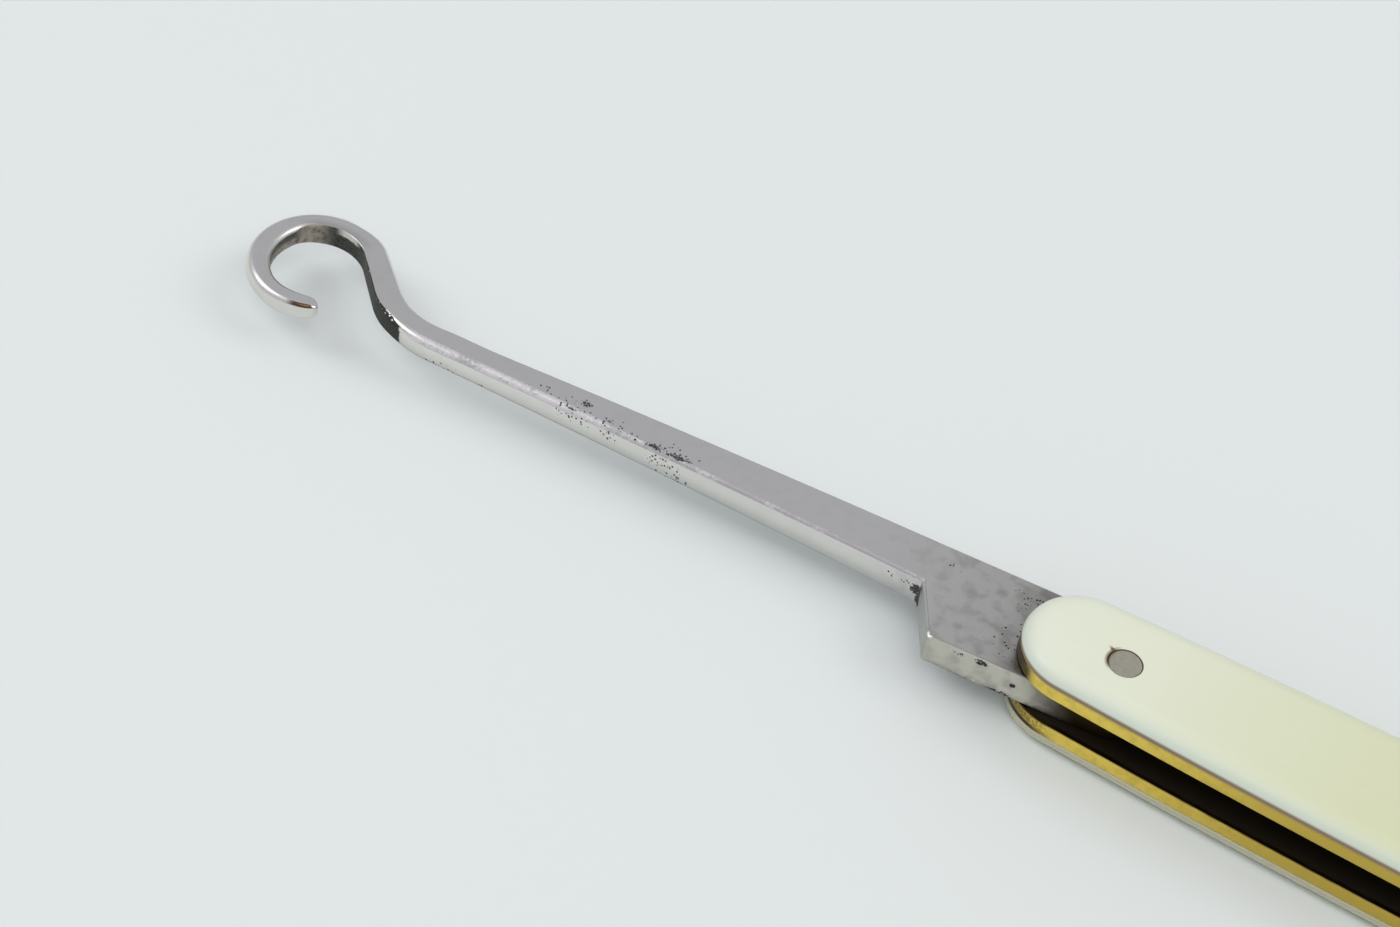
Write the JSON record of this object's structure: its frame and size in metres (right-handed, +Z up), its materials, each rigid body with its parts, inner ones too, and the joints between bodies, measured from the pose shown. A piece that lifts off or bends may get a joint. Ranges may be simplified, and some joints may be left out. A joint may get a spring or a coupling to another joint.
{
  "type": "folding button hook",
  "caption": "Pocket button hook: a polished steel swan-neck hook that folds on a slip joint into a slim handle of pale scales over brass liners with a steel back spring.",
  "frame": {"origin": "middle of the handle's lower face, in the plane that the tool rests on", "axes": "+X along the handle from the hook to the tail, +Y to the handle's back where the spring lies, +Z up through the thickness"},
  "size_m": [0.123, 0.0102, 0.0063],
  "materials": {
    "hook_steel": "mirror polished steel with small dark pits",
    "spring_steel": "ground along its length",
    "liner_brass": "satin, a little tarnished",
    "scale_cream": "polished cream",
    "pin_metal": "flush ground, dull"
  },
  "bodies": {
    "handle": {"front_scale": "scale_cream", "rear_scale": "scale_cream", "front_liner": "liner_brass", "rear_liner": "liner_brass", "back_spring": "spring_steel", "pivot_pin": "pin_metal", "middle_pin": "pin_metal", "tail_pin": "pin_metal"},
    "hook_arm": {"hook": "hook_steel"}
  },
  "joints": [
    {"name": "hook_fold", "type": "hinge", "parent": "handle", "child": "hook_arm", "pos_m": [-0.0289, -0.0005, 0.00313], "axis": [0, 0, 1], "range_deg": [0, 175.7]}
  ]
}
